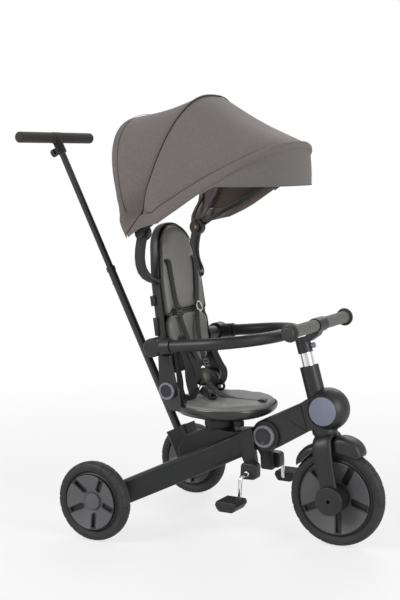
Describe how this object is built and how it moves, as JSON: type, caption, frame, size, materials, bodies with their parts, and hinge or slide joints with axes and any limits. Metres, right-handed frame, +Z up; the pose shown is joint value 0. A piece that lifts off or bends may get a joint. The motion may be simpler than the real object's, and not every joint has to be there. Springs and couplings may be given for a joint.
{
  "type": "children's tricycle",
  "caption": "Convertible children's tricycle: folding frame, swivelling padded seat, reclining back, folding canopy, bumper, parked pedals and a push bar linked to the steering.",
  "frame": {"origin": "centre of the bounding box at floor level", "axes": "+Z up, front wheel toward +X, the rider's left is +Y"},
  "size_m": [0.9697, 0.551, 1.1064],
  "materials": {
    "tyre": "soft black tread rubber",
    "rim_black": "satin black moulded plastic",
    "cover_grey": "grey satin plastic",
    "frame_black": "fine-grained black plastic",
    "frame_paint": "semi-matt black paint",
    "steel": "plain steel",
    "chrome": "polished",
    "post": "anodised silver",
    "ring_grey": "grey satin plastic",
    "button_black": "semi-gloss black",
    "disc_blue": "blue-grey satin",
    "knob_lilac": "grey-lilac plastic",
    "foam_grey": "foam grip",
    "end_cap": "black plastic",
    "foam_brown": "fine foam grip",
    "pan": "glossy black",
    "pad": "grey leatherette",
    "canopy": "taupe woven cloth with dark lining",
    "bow": "black plastic strip",
    "webbing": "black webbing",
    "buckle": "black plastic",
    "button_olive": "grey-olive plastic",
    "knob_olive": "grey-olive plastic",
    "tube": "gloss black powder coat"
  },
  "bodies": {
    "rear_frame": {"main_body": "frame_black", "arm_left": "frame_paint", "arm_right": "frame_paint", "rear_axle": "steel", "pedal_sockets": "frame_black", "pivot_pin": "steel", "pivot_rings": "ring_grey", "pedal_cranks": "chrome"},
    "front_frame": {"front_beam": "frame_black", "head_shell": "frame_black", "head_caps": "disc_blue", "head_bearings": "rim_black"},
    "steering": {"fork": "frame_black", "mudguard": "frame_black", "steering_post": "post", "fork_caps": "frame_black", "front_axle": "steel"},
    "front_wheel": {"front_tyre": "tyre", "front_rim": "rim_black", "front_covers": "cover_grey"},
    "handlebar": {"stem_clamp": "frame_black", "handlebar_tube": "steel", "handlebar_foam": "foam_grey", "bar_end_caps": "end_cap"},
    "clamp_knob": {"clamp_knob": "knob_lilac"},
    "rear_wheel_left": {"rear_tyre_left": "tyre", "rear_rim_left": "rim_black", "rear_cover_left": "cover_grey"},
    "rear_wheel_right": {"rear_tyre_right": "tyre", "rear_rim_right": "rim_black", "rear_cover_right": "cover_grey"},
    "pedal_left": {"pedal_left": "rim_black"},
    "pedal_right": {"pedal_right": "rim_black"},
    "fold_button_left": {"fold_button_left": "button_black"},
    "fold_button_right": {"fold_button_right": "button_black"},
    "push_lower": {"push_tube_outer": "tube"},
    "push_upper": {"push_tube_inner": "tube", "push_handle": "foam_brown"},
    "push_knob": {"push_knob": "button_black"},
    "seat": {"seat_turntable": "frame_black", "seat_pan": "pan", "seat_pad": "pad", "buckle": "buckle"},
    "swivel_knob": {"swivel_knob": "knob_olive"},
    "buckle_button": {"buckle_button": "button_olive"},
    "backrest": {"back_legs": "frame_black", "back_rings": "ring_grey", "back_shell": "frame_black", "back_pad_upper": "pad", "back_pad_lower": "pad", "canopy_uprights": "frame_black", "canopy_bow_rear": "bow", "canopy_panel_rear": "canopy", "harness": "webbing"},
    "bumper": {"bumper_elbows": "frame_black", "bumper_bar": "frame_black"},
    "canopy_mid": {"canopy_bow_mid": "bow", "canopy_panel_front": "canopy"},
    "canopy_front": {"canopy_bow_front": "bow", "canopy_visor": "canopy"}
  },
  "joints": [
    {"name": "frame_fold", "type": "hinge", "parent": "rear_frame", "child": "front_frame", "pos_m": [0.179, 0, 0.261], "axis": [0, 1, 0], "range_deg": [0, 40]},
    {"name": "steering_turn", "type": "hinge", "parent": "front_frame", "child": "steering", "pos_m": [0.31811, 0, 0.31432], "axis": [-0.2745, 0, 0.9616], "range_deg": [-30, 30]},
    {"name": "front_wheel_spin", "type": "hinge", "parent": "steering", "child": "front_wheel", "pos_m": [0.362, 0, 0.1225], "axis": [0, 1, 0], "continuous": true},
    {"name": "handlebar_height", "type": "slide", "parent": "steering", "child": "handlebar", "axis": [-0.2745, 0, 0.9616], "range_m": [-0.03, 0.015]},
    {"name": "clamp_knob_turn", "type": "hinge", "parent": "handlebar", "child": "clamp_knob", "pos_m": [0.29274, 0, 0.49427], "axis": [0.9616, 0, 0.2745], "range_deg": [0, 180]},
    {"name": "rear_wheel_left_spin", "type": "hinge", "parent": "rear_frame", "child": "rear_wheel_left", "pos_m": [-0.186, 0.2535, 0.1], "axis": [0, 1, 0], "continuous": true},
    {"name": "rear_wheel_right_spin", "type": "hinge", "parent": "rear_frame", "child": "rear_wheel_right", "pos_m": [-0.186, -0.2535, 0.1], "axis": [0, 1, 0], "continuous": true},
    {"name": "pedal_left_spin", "type": "hinge", "parent": "rear_frame", "child": "pedal_left", "pos_m": [0.153, 0.167, 0.1155], "axis": [0, 1, 0], "continuous": true},
    {"name": "pedal_right_spin", "type": "hinge", "parent": "rear_frame", "child": "pedal_right", "pos_m": [0.153, -0.167, 0.1155], "axis": [0, 1, 0], "continuous": true},
    {"name": "fold_button_left_press", "type": "slide", "parent": "rear_frame", "child": "fold_button_left", "axis": [0, -1, 0], "range_m": [0, 0.003], "stiffness_N_per_m": 500},
    {"name": "fold_button_right_press", "type": "slide", "parent": "rear_frame", "child": "fold_button_right", "axis": [0, 1, 0], "range_m": [0, 0.003], "stiffness_N_per_m": 500},
    {"name": "push_twist", "type": "hinge", "parent": "rear_frame", "child": "push_lower", "pos_m": [-0.092, 0, 0.247], "axis": [-0.447, 0, 0.8945], "range_deg": [-30, 30]},
    {"name": "push_height", "type": "slide", "parent": "push_lower", "child": "push_upper", "axis": [-0.447, 0, 0.8945], "range_m": [-0.12, 0]},
    {"name": "push_knob_turn", "type": "hinge", "parent": "push_upper", "child": "push_knob", "pos_m": [-0.47713, 0, 0.96184], "axis": [-0.8945, 0, -0.447], "range_deg": [0, 180]},
    {"name": "seat_swivel", "type": "hinge", "parent": "rear_frame", "child": "seat", "pos_m": [0.034, 0, 0.27], "axis": [0, 0, 1], "range_deg": [0, 90]},
    {"name": "swivel_knob_press", "type": "slide", "parent": "seat", "child": "swivel_knob", "axis": [0, 0, -1], "range_m": [0, 0.0025]},
    {"name": "buckle_press", "type": "slide", "parent": "seat", "child": "buckle_button", "axis": [-0.8829, 0, -0.4695], "range_m": [0, 0.002], "stiffness_N_per_m": 300},
    {"name": "back_recline", "type": "hinge", "parent": "seat", "child": "backrest", "pos_m": [-0.051, 0, 0.369], "axis": [0, 1, 0], "range_deg": [-12, 0], "deforming": ["harness"]},
    {"name": "bumper_swing", "type": "hinge", "parent": "backrest", "child": "bumper", "pos_m": [-0.0615, 0, 0.485], "axis": [0, 1, 0], "range_deg": [-55, 0]},
    {"name": "canopy_mid_fold", "type": "hinge", "parent": "backrest", "child": "canopy_mid", "pos_m": [-0.11, 0, 0.766], "axis": [0, 1, 0], "range_deg": [-15, 0], "deforming": ["canopy_panel_rear"]},
    {"name": "canopy_front_fold", "type": "hinge", "parent": "canopy_mid", "child": "canopy_front", "pos_m": [-0.11, 0, 0.766], "axis": [0, 1, 0], "range_deg": [-15, 0], "deforming": ["canopy_panel_front"]}
  ],
  "couplings": [
    {"joint": "push_twist", "follows": "steering_turn", "ratio": 1},
    {"joint": "canopy_front_fold", "follows": "canopy_mid_fold", "ratio": 1}
  ]
}
